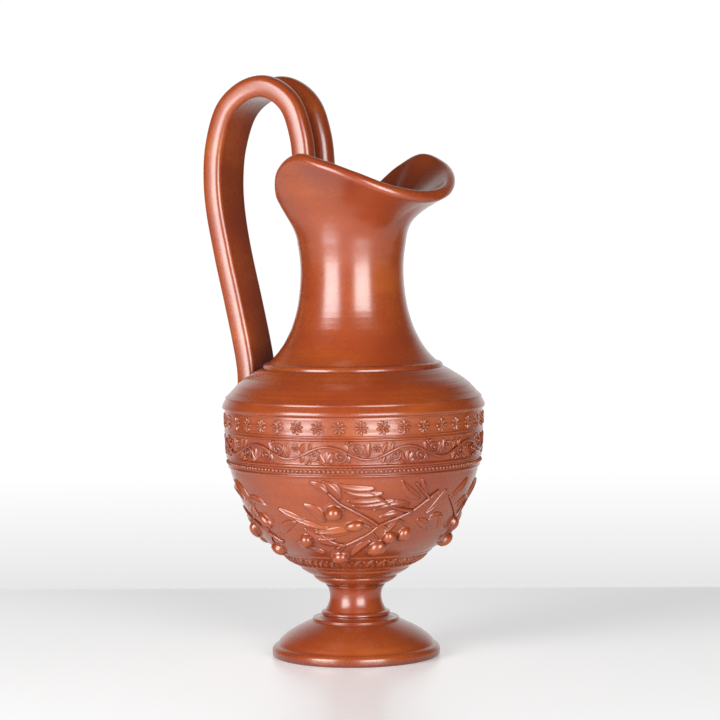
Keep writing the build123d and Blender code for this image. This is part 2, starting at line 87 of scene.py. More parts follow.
# little leaves: share and height of base and tip, width
LITTLE_LEAVES = [
    (0.00, -5.2, 0.00, 1.6, 3.2),
    (-0.015, -5.0, -0.085, 0.6, 2.9),
    (0.015, -5.0, 0.085, 0.6, 2.9),
    (-0.03, -5.2, -0.12, -3.0, 2.2),
    (0.03, -5.2, 0.12, -3.0, 2.2),
    (0.50, -2.2, 0.445, 4.4, 3.0),
    (0.515, -2.0, 0.52, 5.4, 2.8),
    (0.68, -0.2, 0.735, 5.2, 2.9),
    (0.26, 0.4, 0.225, 5.2, 2.5),
    (0.79, 0.6, 0.82, 5.4, 2.4),
    (0.24, -0.8, 0.275, -5.2, 2.5),
    (0.70, -0.9, 0.67, -5.2, 2.5),
]
BERRIES = [(0.27, 4.3), (0.30, 5.0), (0.255, 5.2), (0.76, -3.9), (0.79, -4.6), (0.745, -4.9)]
SPRAY_COUNT = 2
SPRAY_BASE = -60.0  # bearing the spray's own angles are counted from

# the olive spray: (angle, height) along each twig
TWIGS = [
    [(43, 88), (40, 86), (35, 82.4), (29.7, 78.8), (22, 75.6),
     (13.8, 72.4), (7.2, 67.6), (-2, 63.2), (-12, 60)],
    [(12, 72.2), (7, 75.6), (-1.3, 80.2), (-7, 83.6), (-12.2, 88.8)],
    [(29.7, 78.8), (20, 81), (12, 86), (6, 90)],
    [(38, 84.8), (33, 89), (29, 93)],
    [(-6, 61.8), (-12, 63.0), (-18, 66.6), (-23, 72.5)],
    [(88, 62), (80, 66), (70, 71.5), (60, 78), (52, 84.5)],
    [(70, 71.5), (74, 78), (80, 84)],
    [(-48, 62), (-58, 66.5), (-68, 71), (-86, 77)],
    [(-58, 66.5), (-60, 74), (-64, 82)],
]
# stalks from twig to olive, thinner
STALKS = [
    [(-5, 80.5), (-7.5, 80.8), (-10, 80.2)],
    [(-15, 65.6), (-21, 66.6), (-27, 65.4)],
    [(-6, 61.8), (-8.5, 59.5), (-10, 57)],
    [(9, 68.6), (12, 66), (13.6, 63)],
    [(13.8, 72.4), (17.5, 70.5), (19, 68)],
    [(20, 75), (25.5, 73.5), (27.7, 69.5)],
    [(8.5, 71), (5, 72.5), (1, 72.6)],
    [(-60, 68), (-56, 70), (-54, 72)],
    [(-56, 65.6), (-60, 62), (-61, 59)],
    [(-76, 73.6), (-79, 70), (-80, 67.5)],
    [(80, 66), (80, 63.5), (79, 61.5)],
    [(70, 71.5), (71, 70.5), (70, 69.8)],
]
# leaves: base angle, base height, tip angle, tip height, width, bend
LEAVES = [
    (9.6, 91.2, -8.9, 94.2, 4.8, 0.10),
    (13.8, 88.8, -5.6, 90.4, 4.6, 0.10),
    (13.9, 85.4, -4.0, 85.2, 4.6, 0.06),
    (-6.3, 85.4, -14.9, 95.2, 5.0, -0.12),
    (-12.2, 88.6, -21.0, 94.4, 4.4, -0.10),
    (-15.4, 73.8, -25.9, 83.4, 6.0, -0.10),
    (28.0, 82.4, 8.5, 80.0, 4.8, -0.08),
    (33.0, 85.0, 21.4, 95.2, 5.2, 0.12),
    (36.6, 85.6, 32.0, 95.0, 4.0, 0.05),
    (48.8, 88.6, 38.0, 76.6, 4.6, 0.10),
    (26.0, 77.2, 12.0, 76.2, 4.2, -0.10),
    (22.0, 75.4, 15.8, 68.2, 3.2, 0.10),
    (-10.0, 62.0, -28.6, 70.8, 5.0, 0.12),
    (-26.4, 74.6, -41.0, 80.6, 4.8, 0.08),
    (-46.0, 66.0, -31.0, 73.6, 5.2, 0.10),
    (-38.0, 62.5, -24.0, 60.2, 4.4, -0.10),
    (33.0, 74.0, 44.0, 67.5, 4.6, 0.10),
    (41.0, 73.0, 52.0, 75.0, 4.4, 0.10),
    (-84.0, 88.0, -69.0, 81.6, 5.0, 0.08),
    (-64.5, 83.0, -48.0, 80.6, 5.0, 0.10),
    (-62.0, 80.0, -76.0, 92.0, 5.0, -0.10),
    (-88.0, 72.5, -76.0, 66.5, 4.4, 0.08),
    (-68.0, 72.0, -58.0, 82.5, 4.4, 0.08),
    (53.0, 83.5, 65.0, 93.0, 5.0, -0.10),
    (62.0, 77.5, 78.0, 81.5, 5.0, 0.10),
    (50.0, 74.5, 62.0, 66.0, 5.0, -0.08),
    (76.0, 80.0, 86.0, 90.5, 4.8, 0.08),
    (84.0, 65.0, 95.0, 73.0, 4.6, 0.08),
    (62.0, 62.5, 74.0, 58.0, 4.2, 0.10),
    (-14.0, 70.6, -34.0, 76.0, 4.4, 0.06),
    (0.3, 71.4, -23.1, 68.8, 5.6, 0.08),
    (-25.2, 65.8, -10.5, 65.8, 4.2, -0.08),
    (9.7, 64.2, -2.8, 55.6, 5.0, -0.06),
    (20.0, 85.0, -1.6, 82.6, 4.4, 0.06),
    (-19.9, 57.6, -27.6, 60.6, 2.8, 0.08),
]
# olives: angle, height, long radius, short radius, tilt of the long axis
OLIVES = [
    (-10.2, 78.8, 4.2, 3.9, 20),
    (-29.0, 64.0, 4.1, 3.4, 65),
    (-10.0, 55.6, 4.1, 3.5, 5),
    (13.4, 60.8, 5.1, 3.8, 35),
    (19.2, 66.0, 3.5, 3.0, 70),
    (27.9, 67.2, 4.0, 3.1, 60),
    (0.2, 72.4, 4.6, 2.7, 10),
    (-54.0, 73.0, 4.8, 2.6, -45),
    (-61.1, 57.4, 4.4, 2.8, -40),
    (-80.0, 66.0, 4.4, 3.2, 80),
    (78.5, 60.4, 4.7, 3.3, 50),
    (69.5, 69.0, 4.2, 3.0, 80),
]

# ---- mouth ----
MOUTH_TURN = -17.0
NECK_PROFILE = [
    (43.0, 149.0),
    (40.4, 151.4),
    (37.8, 154.3),
    (35.0, 158.3),
    (32.8, 162.4),
    (30.9, 166.5),
    (29.5, 170.6),
    (28.3, 174.8),
    (27.4, 179.2),
    (26.6, 185.0),
    (26.1, 191.0),
    (26.0, 197.0),
    (26.4, 203.0),
    (27.3, 209.0),
]
# middle of the lip's roll: bearing from the pouring lip, distance from the axis, height; both sides alike
RIM = [
    (0, 52.2, 232.0),
    (20, 51.5, 234.6),
    (40, 49.4, 241.3),
    (60, 46.4, 247.4),
    (80, 43.2, 250.8),
    (100, 40.6, 244.6),
    (120, 35.4, 233.2),
    (140, 31.6, 230.4),
    (160, 29.0, 230.0),
    (180, 28.0, 230.0),
]
LIP_WALL = 6.2

# ---- handle: centre line as (distance behind the axis, height) ----
HANDLE_LINE = [
    (57.0, 132.0),
    (57.8, 144.0),
    (60.0, 157.0),
    (65.0, 179.0),
    (71.0, 204.0),
    (75.1, 226.0),
    (76.1, 243.0),
    (74.3, 259.5),
    (68.3, 276.2),
    (58.3, 285.6),
    (46.4, 289.0),
    (36.0, 285.6),
    (28.0, 277.4),
    (23.4, 264.0),
    (21.8, 252.0),
    (21.6, 241.0),
    (22.2, 229.0),
    (22.4, 218.0),
]
ROLL_R = 5.7
ROLL_ACROSS = 0.93  # a roll's width against its depth
FREE_SIDE_POWER = 0.66  # 1 is round and smaller is squarer
ROLL_HALF_PITCH = 9.0
INNER_FACE = -0.95 * ROLL_R  # how far the rolls' flat inner face lies from the centre line


# ---- materials ----
def node(tree, kind, place, **values):
    """Adds a shader node and sets its inputs by name."""
    made = tree.nodes.new(kind)
    made.location = place
    for name, value in values.items():
        made.inputs[name.replace("_", " ")].default_value = value
    return made


def plug(tree, sockets, values):
    """Links each value that is a socket and sets each that is plain."""
    for socket, value in zip(sockets, values):
        if isinstance(value, bpy.types.NodeSocket):
            tree.links.new(value, socket)
        else:
            socket.default_value = value


def mix_colour(tree, place, factor, first, second):
    """A colour mix; factor and colours are sockets or plain values."""
    made = tree.nodes.new("ShaderNodeMix")
    made.data_type = "RGBA"
    made.location = place
    plug(tree, (made.inputs["Factor"], made.inputs[6], made.inputs[7]), (factor, first, second))
    return made.outputs[2]


def ramp(tree, place, source, low, high, low_value=0.0, high_value=1.0):
    """Maps source from low..high to low_value..high_value, clamped."""
    made = tree.nodes.new("ShaderNodeMapRange")
    made.location = place
    made.inputs["From Min"].default_value = low
    made.inputs["From Max"].default_value = high
    made.inputs["To Min"].default_value = low_value
    made.inputs["To Max"].default_value = high_value
    tree.links.new(source, made.inputs["Value"])
    return made.outputs["Result"]


SLIP = (0.275, 0.054, 0.0105, 1)
SLIP_THIN = (0.370, 0.092, 0.018, 1)
SLIP_DARK = (0.215, 0.032, 0.0075, 1)
# the darkest red is painted shade, laid into corners within the reach below and onto the surfaces that face
# the axis
SLIP_PAINTED_SHADE = (0.100, 0.012, 0.005, 1)
PAINTED_SHADE_REACH = 0.006
LINE_DEPTH = 0.00025
GRAIN_DEPTH = 0.00012


def vector_maths(tree, place, operation, *values):
    """A vector maths node's outputs; each value is a socket or a plain vector."""
    made = tree.nodes.new("ShaderNodeVectorMath")
    made.operation = operation
    made.location = place
    plug(tree, made.inputs, values)
    return made.outputs


def noise(tree, height, source, stretch=None, **values):
    """Noise over a vector, which may be stretched first."""
    if stretch:
        mapping = node(tree, "ShaderNodeMapping", (-1200, height), Scale=stretch)
        tree.links.new(source, mapping.inputs["Vector"])
        source = mapping.outputs["Vector"]
    made = node(tree, "ShaderNodeTexNoise", (-1000, height), **values)
    tree.links.new(source, made.inputs["Vector"])
    return made.outputs["Fac"]


def facing_out(tree, place):
    """How squarely the surface faces away from the vessel's axis, -1 to 1."""
    flat = vector_maths(tree, (-200, 420), "MULTIPLY", place.outputs["Object"], (1, 1, 0))["Vector"]
    outward = vector_maths(tree, (0, 420), "NORMALIZE", flat)["Vector"]
    return vector_maths(tree, (200, 420), "DOT_PRODUCT", outward, place.outputs["Normal"])["Value"]


def slip_colour(tree, clouds, fine, lines, turned, relief):
    """Cloudy red, streaked along the turning lines, with painted shade in corners and worn thin on edges."""
    cloud = ramp(tree, (-780, 200), clouds, 0.34, 0.66)
    colour = mix_colour(tree, (-560, 200), cloud, SLIP_DARK, SLIP)
    thin = ramp(tree, (-780, 0), clouds, 0.58, 0.78, 0.0, 0.55)
    colour = mix_colour(tree, (-380, 160), thin, colour, SLIP_THIN)
    streak = ramp(tree, (-780, -350), lines, 0.30, 0.70, 0.0, 0.22 * turned)
    colour = mix_colour(tree, (-200, 120), streak, colour, SLIP_DARK)
    speck = ramp(tree, (-780, -120), fine, 0.62, 0.76, 0.0, 0.25)
    colour = mix_colour(tree, (-20, 80), speck, colour, SLIP_THIN)
    # painted shade in corners and creases: ambient occlusion darkens the slip where other surfaces are near
    corners = node(tree, "ShaderNodeAmbientOcclusion", (-200, -300), Distance=PAINTED_SHADE_REACH)
    corners.samples = 6
    painted_corner_shade = ramp(tree, (0, -300), corners.outputs["AO"], 0.45, 0.92, 0.85, 0.0)
    colour = mix_colour(tree, (180, 60), painted_corner_shade, colour, SLIP_PAINTED_SHADE)
    if relief:
        form = node(tree, "ShaderNodeNewGeometry", (0, -520))
        worn = ramp(tree, (180, -520), form.outputs["Pointiness"], 0.51, 0.60, 0.0, relief)
        colour = mix_colour(tree, (380, 40), worn, colour, SLIP_THIN)
    return colour


def slip_roughness(tree, clouds, fine, gloss):
    """Roughness about gloss, duller where the slip is thin and grainy."""
    total = node(tree, "ShaderNodeMath", (40, -700))
    total.operation = "ADD"
    tree.links.new(ramp(tree, (-200, -700), clouds, 0.3, 0.7, gloss + 0.05, gloss - 0.03), total.inputs[0])
    tree.links.new(ramp(tree, (-200, -900), fine, 0.3, 0.7, 0.0, 0.05), total.inputs[1])
    return total.outputs["Value"]


def slip_bump(tree, fine, lines, turned):
    """Fine turning lines with the clay's grain over them."""
    turned_bump = node(tree, "ShaderNodeBump", (500, -400), Strength=0.16 * turned, Distance=LINE_DEPTH)
    tree.links.new(lines, turned_bump.inputs["Height"])
    grain_bump = node(tree, "ShaderNodeBump", (700, -400), Strength=0.10, Distance=GRAIN_DEPTH)
    tree.links.new(fine, grain_bump.inputs["Height"])
    tree.links.new(turned_bump.outputs["Normal"], grain_bump.inputs["Normal"])
    return grain_bump.outputs["Normal"]


def slip_material(name, turned=1.0, gloss=0.24, relief=0.0, painted_hollow_shade=0.0):
    """Red slip fired over terracotta; hollow sets how much painted shade falls on the surfaces that face the
    vessel's axis.
    """
    mat = bpy.data.materials.new(name)
    mat.use_nodes = True
    tree = mat.node_tree
    tree.nodes.clear()
    link = tree.links.new
    out = node(tree, "ShaderNodeOutputMaterial", (1200, 0))
    skin = node(tree, "ShaderNodeBsdfPrincipled", (900, 0), IOR=1.52)
    link(skin.outputs["BSDF"], out.inputs["Surface"])
    place = node(tree, "ShaderNodeTexCoord", (-1400, 0))
    spot = place.outputs["Object"]

    # broad clouds drawn out round the wheel, fine grain, and lines that change fast with height
    clouds = noise(tree, 200, spot, (22, 22, 46), Scale=1.0, Detail=4.0, Roughness=0.55)
    fine = noise(tree, -80, spot, Scale=420.0, Detail=3.0, Roughness=0.6)
    lines = noise(tree, -350, spot, (9, 9, 950), Scale=1.0, Detail=2.0, Roughness=0.5)

    colour = slip_colour(tree, clouds, fine, lines, turned, relief)
    # painted shade: surfaces that face the vessel's axis, such as the inside of the mouth, are darkened
    # toward the shade colour
    inside = ramp(tree, (500, 260), facing_out(tree, place), -0.05, -0.35, 0.0, 0.55 * painted_hollow_shade)
    link(mix_colour(tree, (620, 60), inside, colour, SLIP_PAINTED_SHADE), skin.inputs["Base Color"])
    link(slip_roughness(tree, clouds, fine, gloss), skin.inputs["Roughness"])
    link(slip_bump(tree, fine, lines, turned), skin.inputs["Normal"])
    skin.inputs["Coat Weight"].default_value = 0.45
    skin.inputs["Coat Roughness"].default_value = 0.19
    return mat


TURNED_SLIP = slip_material("slip_turned", painted_hollow_shade=1.0)
ROLLED_SLIP = slip_material("slip_rolled", turned=0.15, gloss=0.25)
RELIEF_SLIP = slip_material("slip_relief", turned=0.0, gloss=0.22, relief=0.35)


# ---- mesh helpers ----
def piece(name, verts, faces, material, slot_name, *nodes):
    """A smooth-shaded mesh from millimetres that rides the body and stands in for its CAD nodes."""
    mesh = bpy.data.meshes.new(name)
    mesh.from_pydata((np.asarray(verts) * MM).tolist(), [], faces)
    mesh.validate()
    mesh.update()
    mesh.shade_smooth()
    made = bpy.data.objects.new(name, mesh)
    bpy.context.scene.collection.objects.link(made)
    mesh.materials.append(material)
    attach(made, BODY)
    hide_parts(*nodes)
    return made


def grid_faces(rows, columns, closed_rows=False, closed_columns=False, flip=False):
    """Quads of a rows by columns grid of points, wrapping round where asked."""
    faces = []
    for i in range(rows if closed_rows else rows - 1):
        for j in range(columns if closed_columns else columns - 1):
            a = i * columns + j
            b = i * columns + (j + 1) % columns
            c = ((i + 1) % rows) * columns + (j + 1) % columns
            d = ((i + 1) % rows) * columns + j
            faces.append((a, d, c, b) if flip else (a, b, c, d))
    return faces


class Cluster:
    """Meshes of like shapes gathered into one piece."""

    def __init__(self):
        self.verts = []
        self.faces = []
        self.count = 0

    def add(self, verts, faces):
        self.verts.append(np.asarray(verts, float))
        self.faces += [tuple(i + self.count for i in face) for face in faces]
        self.count += len(verts)

    def turned_copies(self, copies):
        """The whole cluster repeated round the axis."""
        base = np.concatenate(self.verts)
        faces = list(self.faces)
        whole = Cluster()
        for k in range(copies):
            whole.add(spun(base, 360.0 * k / copies), faces)
        return whole

    def points(self):
        return np.concatenate(self.verts)


def spun(points, degrees):
    """Points turned about the vertical axis."""
    a = math.radians(degrees)
    turn = np.array([[math.cos(a), math.sin(a), 0], [-math.sin(a), math.cos(a), 0], [0, 0, 1]])
    return points @ turn


def smooth_line(points, per_span):
    """A Catmull-Rom curve through the points."""
    p = np.asarray(points, float)
    p = np.vstack([2 * p[0] - p[1], p, 2 * p[-1] - p[-2]])
    t = np.linspace(0, 1, per_span, endpoint=False)[:, None]
    rows = []
    for a, b, c, d in zip(p[:-3], p[1:-2], p[2:-1], p[3:]):
        square = 2 * a - 5 * b + 4 * c - d
        cube = 3 * b - a - 3 * c + d
        rows.append(0.5 * (2 * b + (c - a) * t + square * t**2 + cube * t**3))
    return np.vstack(rows + [p[-2][None, :]])


def lathe(profile):
    """A closed outline (radius, height) turned into a solid; points on the axis become poles."""
    profile = np.asarray(profile, float)
    angles = np.linspace(0, 2 * math.pi, SMOOTH_STEPS, endpoint=False)
    ring = np.stack([np.cos(angles), np.sin(angles)], axis=1)
    verts = np.concatenate(
        [np.column_stack([ring * max(r, 0.02), np.full(SMOOTH_STEPS, z)]) for r, z in profile]
    )
    closed = profile[0][0] > 0.1
    faces = grid_faces(len(profile), SMOOTH_STEPS, closed_rows=closed, closed_columns=True)
    if not closed:
        last = len(profile) - 1
        faces.append(tuple(reversed(range(SMOOTH_STEPS))))
        faces.append(tuple(range(last * SMOOTH_STEPS, (last + 1) * SMOOTH_STEPS)))
    return verts, faces


def divided(points, spacing=0.8):
    """An outline's straight stretches cut into short ones, so that turned pieces shade evenly."""
    out = []
    p = np.asarray(points, float)
    for a, b in zip(p[:-1], p[1:]):
        steps = max(1, int(math.dist(a, b) / spacing))
        out.append(a + (b - a) * np.linspace(0, 1, steps, endpoint=False)[:, None])
    return np.vstack(out + [p[-1][None, :]])


def softened(points, passes):
    """An outline with its corners eased by averaging."""
    p = np.array(points, float)
    for _ in range(passes):
        q = p.copy()
        q[1:-1] = 0.25 * p[:-2] + 0.5 * p[1:-1] + 0.25 * p[2:]
        p = q
    return p


def turning(points, amount=0.035):
    """Faint throwing rings left on a turned outline, moved along its radius."""
    p = np.array(points, float)
    z = p[:, 1]
    ripple = np.sin(z * 2.1 + 0.6 * np.sin(z * 0.7)) + 0.6 * np.sin(z * 4.7 + 1.3) + 0.4 * np.sin(z * 0.9)
    p[:, 0] += amount * ripple
    return p


# ---- the bowl's skin ----
def arc_through(start, end, heading):
    """Points of the arc that leaves start along heading and reaches end, and its end heading."""
    chord = math.atan2(end[1] - start[1], end[0] - start[0])
    half = chord - heading
    radius = math.dist(start, end) / (2 * math.sin(half))
    centre = np.array([start[0] - radius * math.sin(heading), start[1] + radius * math.cos(heading)])
    steps = np.linspace(0, 2 * half, 24)
    points = [centre + radius * np.array([math.sin(heading + s), -math.cos(heading + s)]) for s in steps]
    return np.array(points), heading + 2 * half


def skin_table():
    """Radius of the bowl's plain skin against height, from the top down."""
    parts = [np.array(BANDS[:-1])]
    heading = -math.pi / 2 - math.radians(ARC_LEAN)
    for start, end in zip(ARC_ENDS[:-1], ARC_ENDS[1:]):
        points, heading = arc_through(start, end, heading)
        parts.append(points[:-1])
    parts.append(np.array([ARC_ENDS[-1]] + UNDERSIDE))
    table = np.vstack(parts)
    return table[::-1]


SKIN = skin_table()


def bowl_r(z):
    """Radius of the bowl's plain skin at a height."""
    return np.interp(z, SKIN[:, 1], SKIN[:, 0])


def on_bowl(angle, z, lift):
    """Points at bearings (degrees) and heights on the bowl, lifted along the skin's normal."""
    z = np.asarray(z, float)
    slope = np.arctan2(bowl_r(z + 0.6) - bowl_r(z - 0.6), 1.2)
    r = bowl_r(z) + lift * np.cos(slope)
    a = np.radians(np.asarray(angle, float))
    return np.column_stack([r * np.cos(a), r * np.sin(a), z - lift * np.sin(slope)])


def laid(u, v, h, angle, z, tilt=0.0):
    """Local (right, up, out) points wrapped onto the bowl about a place, turned by tilt."""
    t = math.radians(tilt)
    across = u * math.cos(t) - v * math.sin(t)
    rise = u * math.sin(t) + v * math.cos(t)
    slope = math.atan2(float(bowl_r(z + 1) - bowl_r(z - 1)), 2.0)
    heights = z + rise * math.cos(slope)
    bearings = angle + np.degrees(across / bowl_r(heights))
    return on_bowl(bearings, heights, h)


def closed_patch(u, v, h, rows, columns, depth=0.7):
    """A relief's top grid with a sunk underside, as local arrays and faces."""
    top = rows * columns
    faces = grid_faces(rows, columns)
    faces += [tuple(i + top for i in reversed(face)) for face in grid_faces(rows, columns)]
    border = list(range(columns))
    border += [i * columns + columns - 1 for i in range(1, rows)]
    border += [(rows - 1) * columns + j for j in range(columns - 2, -1, -1)]
    border += [i * columns for i in range(rows - 2, 0, -1)]
    for a, b in zip(border, border[1:] + border[:1]):
        faces.append((b, a, a + top, b + top))
    return np.tile(u, 2), np.tile(v, 2), np.concatenate([h, np.full(top, -depth)]), faces


def polar_grid(first, last, rings, spokes):
    """Flat arrays of (distance, bearing) over rings and spokes."""
    distances = np.linspace(first, last, rings)
    bearings = np.linspace(0, 2 * math.pi, spokes, endpoint=False)
    k, a = np.meshgrid(distances, bearings, indexing="ij")
    return k.ravel(), a.ravel()


def leaf_form(length, width, bend, height, rows=25, columns=13):
    """A lanceolate leaf with a raised midrib, drawn along +u from its base."""
    s, t = np.meshgrid(np.linspace(0, 1, rows), np.linspace(-1, 1, columns), indexing="ij")
    s = s.ravel()
    t = t.ravel()
    half = 0.57 * width * np.sin(math.pi * (0.03 + 0.94 * s) ** 0.85) ** 0.85
    u = length * s
    v = t * half + bend * length * 4 * s * (1 - s)
    along = np.sin(math.pi * (0.04 + 0.92 * s)) ** 0.4
    body = (1 - t**2) ** 1.2
    rib = 0.42 * np.exp(-((t / 0.13) ** 2))
    brim = 0.16 * np.exp(-(((np.abs(t) - 0.78) / 0.12) ** 2))
    h = height * along * (0.72 * body + rib + brim)
    edge = np.abs(t) > 0.999
    h[edge] = -0.25
    h[(s < 0.001) | (s > 0.999)] = -0.25
    return closed_patch(u, v, h, rows, columns)


def flower_form(radius, petals, rise, rings=15, spokes=64):
    """Narrow petals round a boss, as local arrays and faces; the rim dips under the skin."""
    k, a = polar_grid(0, 1, rings, spokes)
    lobe = np.abs(np.cos(petals * a / 2))
    reach = radius * (0.60 + 0.40 * lobe**0.7)
    petal = np.sin(math.pi * np.clip((k - 0.20) / 0.82, 0, 1)) ** 0.6 * (0.02 + 0.98 * lobe**1.5)
    boss = np.sqrt(np.clip(1 - (k / 0.22) ** 2, 0, 1))
    h = rise * (petal + 1.05 * boss) + 0.04
    h[k > 0.99] = -0.3
    faces = grid_faces(rings, spokes, closed_columns=True, flip=True)
    last = (rings - 1) * spokes
    faces.append(tuple(reversed(range(last, last + spokes))))
    return reach * k * np.cos(a), reach * k * np.sin(a), h, faces


def olive_form(long_r, short_r, rings=24, spokes=36):
    """An egg-shaped boss with a soft skirt into the skin and a small nub at its far end."""
    k, a = polar_grid(0, 1.5, rings, spokes)
    u = long_r * k * np.cos(a) * (1 - 0.05 * np.cos(a))
    v = short_r * k * np.sin(a) * (1 + 0.05 * np.cos(a))
    dome = 1.12 * short_r * np.sqrt(np.clip(1 - k**2, 0, 1))
    skirt = 0.32 * short_r * np.exp(-((np.clip(k - 0.80, 0, None) / 0.24) ** 2))
    nub = 0.45 * np.exp(-((u + 0.97 * long_r) ** 2 + v**2) / 0.35)
    h = np.sqrt(dome**2 + skirt**2) + nub
    h[k > 1.49] = -0.3
    faces = grid_faces(rings, spokes, closed_columns=True, flip=True)
    last = (rings - 1) * spokes
    faces.append(tuple(reversed(range(last, last + spokes))))
    return u, v, h, faces


def leaf_between(cluster, base_angle, base_z, tip_angle, tip_z, width, bend, height):
    """Lays a leaf on the bowl from its base to its tip."""
    z = (base_z + tip_z) / 2
    slope = math.atan2(float(bowl_r(z + 1) - bowl_r(z - 1)), 2.0)
    across = math.radians(tip_angle - base_angle) * float(bowl_r(z))
    rise = (tip_z - base_z) / math.cos(slope)
    length = math.hypot(across, rise)
    u, v, h, faces = leaf_form(length, width, bend, height)
    middle = (base_angle + tip_angle) / 2
    verts = laid(u - length / 2, v, h, middle, z, math.degrees(math.atan2(rise, across)))
    cluster.add(verts, faces)


def tube_on_bowl(cluster, places, radius, sides=10, lift=0.25, closed=False):
    """A rod lying on the bowl along (angle, height) places; radius is one value per place."""
    places = np.asarray(places, float)
    radius = np.broadcast_to(np.asarray(radius, float), (len(places),))
    middle = on_bowl(places[:, 0], places[:, 1], 0.0)
    out = on_bowl(places[:, 0], places[:, 1], 1.0) - middle
    if closed:
        along = np.roll(middle, -1, axis=0) - np.roll(middle, 1, axis=0)
    else:
        along = np.gradient(middle, axis=0)
    along /= np.linalg.norm(along, axis=1)[:, None]
    side = np.cross(along, out)
    side /= np.linalg.norm(side, axis=1)[:, None]
    turns = np.linspace(0, 2 * math.pi, sides, endpoint=False)
    rings = [
        middle
        + out * (radius * (lift + np.sin(a)))[:, None]
        + side * (radius * np.cos(a))[:, None]
        for a in turns
    ]
    verts = np.stack(rings, axis=1).reshape(-1, 3)
    faces = grid_faces(len(places), sides, closed_rows=closed, closed_columns=True)
    if not closed:
        last = (len(places) - 1) * sides
        faces.append(tuple(reversed(range(sides))))
        faces.append(tuple(range(last, last + sides)))
    cluster.add(verts, faces)


def ball_on_bowl(cluster, angle, z, long_r, short_r, tilt, lift, rows=14, columns=18):
    """A berry or bead: an egg lying on the bowl with its long axis tilted."""
    p, q = polar_grid(0, math.pi, rows, columns)
    x = -long_r * np.cos(p)
    waist = short_r * np.sin(p) * (1 + 0.07 * np.cos(p))
    verts = laid(x, waist * np.cos(q), 0 * x, angle, z, tilt)
    out = laid(x, waist * np.cos(q), 0 * x + 1.0, angle, z, tilt) - verts
    verts = verts + out * (lift + waist * np.sin(q))[:, None]
    faces = grid_faces(rows, columns, closed_columns=True)
    cluster.add(verts, faces)


# ---- turned pieces ----
def bowl_piece():
    """The bowl with its ridges, the band under the shoulder, the rabbet, the cavity and the socket below."""
    # heights stand closer together where there are ridges
    heights = np.concatenate([
        np.arange(FOOT_TOP_Z, 56, 0.22),
        np.arange(56, 95.6, 0.9),
        np.arange(95.6, 103.4, 0.18),
        np.arange(103.4, 113.8, 0.8),
        np.arange(113.8, 117.4, 0.16),
        np.arange(117.4, 126.0, 0.5),
    ])
    radii = bowl_r(heights)
    for z, half, rise in RIDGES:
        inside = np.clip(1 - ((heights - z) / half) ** 2, 0, None)
        radii = radii + rise * np.sqrt(inside)
    outer = softened(np.column_stack([radii, heights]), 1)
    outer = turning(outer, 0.02)
    turn = np.linspace(-1.4, 0.36, 12)
    roll = np.column_stack([65.45 + 1.05 * np.cos(turn), 127.2 + 1.05 * np.sin(turn)])
    band = np.vstack([roll, divided([(66.35, 128.1), (65.5, 129.8), (64.6, 131.5)], 0.5)])
    top = [(64.8, SHOULDER_Z), (61.9, SHOULDER_Z), (61.9, SHOULDER_Z - 3.4), (59.2, SHOULDER_Z - 3.4)]
    cavity = smooth_line(
        [(59.2, 128.2), (58.6, 106), (55.4, 90), (50, 77), (42, 65),
         (32, 56), (20, 50.2), (8, 48.2), (0.02, 48)], 8
    )
    floor = divided([(0.02, 39.1), (8.05, 39.1), (8.05, FOOT_TOP_Z), (14.0, FOOT_TOP_Z)])
    outline = np.vstack([floor, outer, band, divided(top), cavity])
    verts, faces = lathe(outline)
    return piece("bowl_form", verts, faces, TURNED_SLIP, "body_slip", "bowl")


def foot_piece():
    """The foot from its resting ring up the outside to the spigot, and back under the dome."""
    t = np.linspace(0.0, 1.35, 10)
    edge = [(41.5, 0.0), (42.1, 0.16), (42.45, 0.6), (42.6, 1.4), (42.65, 2.2)]
    rim = np.vstack([edge, np.column_stack([39.9 + 2.75 * np.cos(t), 3.0 + 2.75 * np.sin(t)])])
    dome = smooth_line(
        [(39.9, 6.0), (38.4, 8.3), (35.2, 11.1), (32.0, 13.2), (28.4, 15.2), (25.0, 16.8), (22.6, 17.8)], 6
    )
    t = np.linspace(-0.6, 1.9, 10)
    step = np.column_stack([21.3 + 0.8 * np.cos(t), 18.75 + 0.75 * np.sin(t)])
    saucer = smooth_line([(20.8, 19.35), (19.4, 19.6), (18.2, 20.2)], 5)
    t = np.linspace(-1.3, 1.5, 12)
    ring = np.column_stack([16.3 + 1.25 * np.cos(t), 21.7 + 1.15 * np.sin(t)])
    stem = smooth_line(
        [(15.6, 23.1), (14.5, 24.9), (13.6, 27.2), (13.1, 29.6),
         (13.15, 32.0), (13.8, 34.2), (15.0, FOOT_TOP_Z)], 7
    )
    spigot = divided([(8.0, FOOT_TOP_Z), (8.0, 39.0), (0.02, 39.0)])
    under = smooth_line(
        [(0.02, 16.0), (10, 14.8), (20, 11.2), (28, 6.6), (32.6, 2.4), (33.8, 0.6), (34.4, 0.0)], 7
    )
    rest = divided([(34.6, 0), (41.2, 0)])
    outline = np.vstack([rest, rim, dome, step, saucer, ring, stem, spigot, under])
    outline[:, 1] = np.maximum(outline[:, 1], 0)
    verts, faces = lathe(outline_open(outline))
    return piece("foot_form", verts, faces, TURNED_SLIP, "body_slip", "pedestal_foot")


def outline_open(outline):
    """A closed outline restarted at its last point on the axis."""
    on_axis = np.where(outline[:, 0] < 0.05)[0]
    start = on_axis[-1]
    return np.roll(outline, -start, axis=0)


